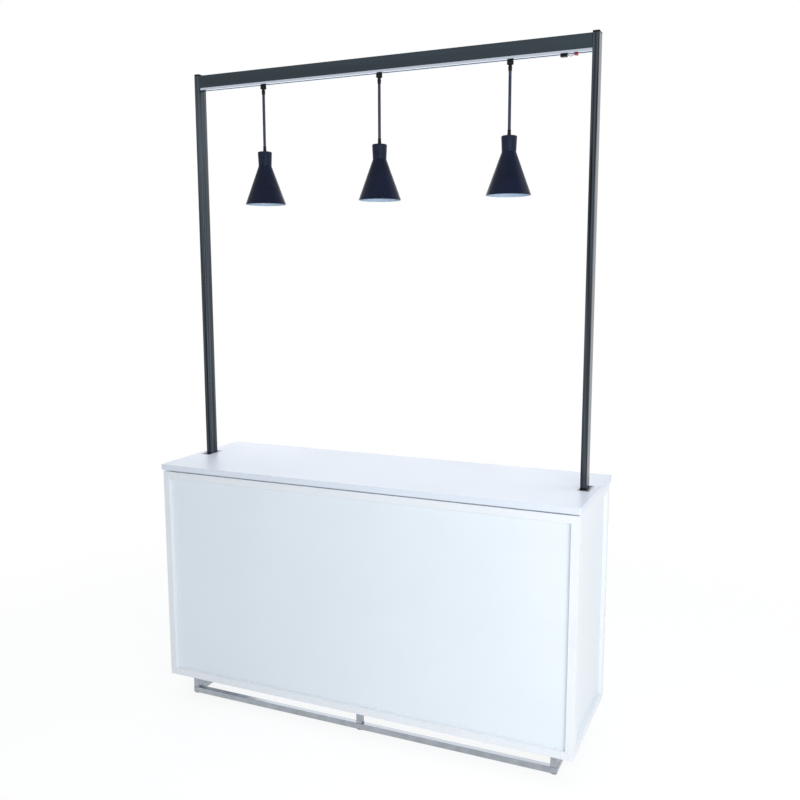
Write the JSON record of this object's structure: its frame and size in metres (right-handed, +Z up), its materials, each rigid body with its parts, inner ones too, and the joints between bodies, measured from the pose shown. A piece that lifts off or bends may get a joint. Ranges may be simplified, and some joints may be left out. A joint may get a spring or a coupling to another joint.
{
  "type": "folding portable bar",
  "caption": "Free-standing white panelled bar counter on a folding tube frame, with a lift-out lamp gantry of slim posts, a beam and hanging cone lamps.",
  "frame": {"origin": "on the floor, under the middle of the counter top", "axes": "+X to the right of someone facing the front, +Y to the open back, +Z up"},
  "size_m": [1.83, 0.57, 2.737],
  "materials": {
    "satin_steel": "satin",
    "bright_steel": "bright",
    "black_plastic": "moulded, matt",
    "white_lacquer": "white lacquer",
    "white_board": "white satin board",
    "white_laminate": "white laminate",
    "dark_chrome": "dark polished",
    "slate_paint": "slate grey, satin",
    "track_aluminium": "anodised",
    "red_plastic": "moulded",
    "lead_sheath": "grey sheath",
    "stem_paint": "dark blue, satin",
    "neck_paint": "blue grey, satin",
    "holder_ceramic": "glazed",
    "shade_paint": "near black, satin, white inside",
    "bulb_glass": "frosted face"
  },
  "bodies": {
    "front_frame": {"front_frame": "satin_steel", "front_glide_left": "black_plastic", "front_glide_centre": "black_plastic", "front_glide_right": "black_plastic", "fixed_leaf_left": "bright_steel", "fixed_leaf_right": "bright_steel", "hinge_pin_left": "bright_steel", "hinge_pin_right": "bright_steel", "front_panel_frame": "white_lacquer", "front_panel_insert": "white_board"},
    "left_wing": {"left_wing_frame": "satin_steel", "left_wing_leaf": "bright_steel", "left_wing_glide": "black_plastic", "left_panel_frame": "white_lacquer", "left_panel_insert": "white_board"},
    "right_wing": {"right_wing_frame": "satin_steel", "right_wing_leaf": "bright_steel", "right_wing_glide": "black_plastic", "right_panel_frame": "white_lacquer", "right_panel_insert": "white_board"},
    "counter": {"counter_top": "white_laminate", "socket_ring_left": "bright_steel", "socket_ring_right": "bright_steel", "socket_liner_left": "black_plastic", "socket_liner_right": "black_plastic", "post_spigot_left": "satin_steel", "post_spigot_right": "satin_steel", "locating_pin_left": "bright_steel", "locating_pin_right": "bright_steel"},
    "gantry": {"gantry_beam": "slate_paint", "light_track": "track_aluminium", "gantry_post_left": "dark_chrome", "gantry_post_right": "dark_chrome", "post_cap_left": "black_plastic", "post_cap_right": "black_plastic", "feed_block": "black_plastic", "red_terminal": "red_plastic", "feed_lead": "lead_sheath", "swivel_cup_left": "black_plastic", "swivel_cup_centre": "black_plastic", "swivel_cup_right": "black_plastic"},
    "ball_left": {"swivel_ball_left": "black_plastic"},
    "lamp_left": {"lamp_stem_left": "stem_paint", "lamp_neck_left": "neck_paint", "lampholder_left": "holder_ceramic", "lamp_shade_left": "shade_paint", "lamp_bulb_left": "bulb_glass"},
    "ball_centre": {"swivel_ball_centre": "black_plastic"},
    "lamp_centre": {"lamp_stem_centre": "stem_paint", "lamp_neck_centre": "neck_paint", "lampholder_centre": "holder_ceramic", "lamp_shade_centre": "shade_paint", "lamp_bulb_centre": "bulb_glass"},
    "ball_right": {"swivel_ball_right": "black_plastic"},
    "lamp_right": {"lamp_stem_right": "stem_paint", "lamp_neck_right": "neck_paint", "lampholder_right": "holder_ceramic", "lamp_shade_right": "shade_paint", "lamp_bulb_right": "bulb_glass"}
  },
  "joints": [
    {"name": "left_wing_fold", "type": "hinge", "parent": "front_frame", "child": "left_wing", "pos_m": [-0.805, -0.187, 0.5], "axis": [0, 0, -1], "range_deg": [0, 90]},
    {"name": "right_wing_fold", "type": "hinge", "parent": "front_frame", "child": "right_wing", "pos_m": [0.805, -0.187, 0.5], "axis": [0, 0, 1], "range_deg": [0, 90]},
    {"name": "counter_lift", "type": "slide", "parent": "front_frame", "child": "counter", "axis": [0, 0, 1], "range_m": [0, 0.25]},
    {"name": "gantry_lift", "type": "slide", "parent": "counter", "child": "gantry", "axis": [0, 0, 1], "range_m": [0, 0.25]},
    {"name": "lamp_left_swing", "type": "hinge", "parent": "gantry", "child": "ball_left", "pos_m": [-0.54, 0.014, 2.6568], "axis": [1, 0, 0], "range_deg": [-20, 20]},
    {"name": "lamp_left_sway", "type": "hinge", "parent": "ball_left", "child": "lamp_left", "pos_m": [-0.54, 0.014, 2.6568], "axis": [0, 1, 0], "range_deg": [-20, 20]},
    {"name": "lamp_centre_swing", "type": "hinge", "parent": "gantry", "child": "ball_centre", "pos_m": [0, 0.014, 2.6568], "axis": [1, 0, 0], "range_deg": [-20, 20]},
    {"name": "lamp_centre_sway", "type": "hinge", "parent": "ball_centre", "child": "lamp_centre", "pos_m": [0, 0.014, 2.6568], "axis": [0, 1, 0], "range_deg": [-20, 20]},
    {"name": "lamp_right_swing", "type": "hinge", "parent": "gantry", "child": "ball_right", "pos_m": [0.54, 0.014, 2.6568], "axis": [1, 0, 0], "range_deg": [-20, 20]},
    {"name": "lamp_right_sway", "type": "hinge", "parent": "ball_right", "child": "lamp_right", "pos_m": [0.54, 0.014, 2.6568], "axis": [0, 1, 0], "range_deg": [-20, 20]}
  ]
}
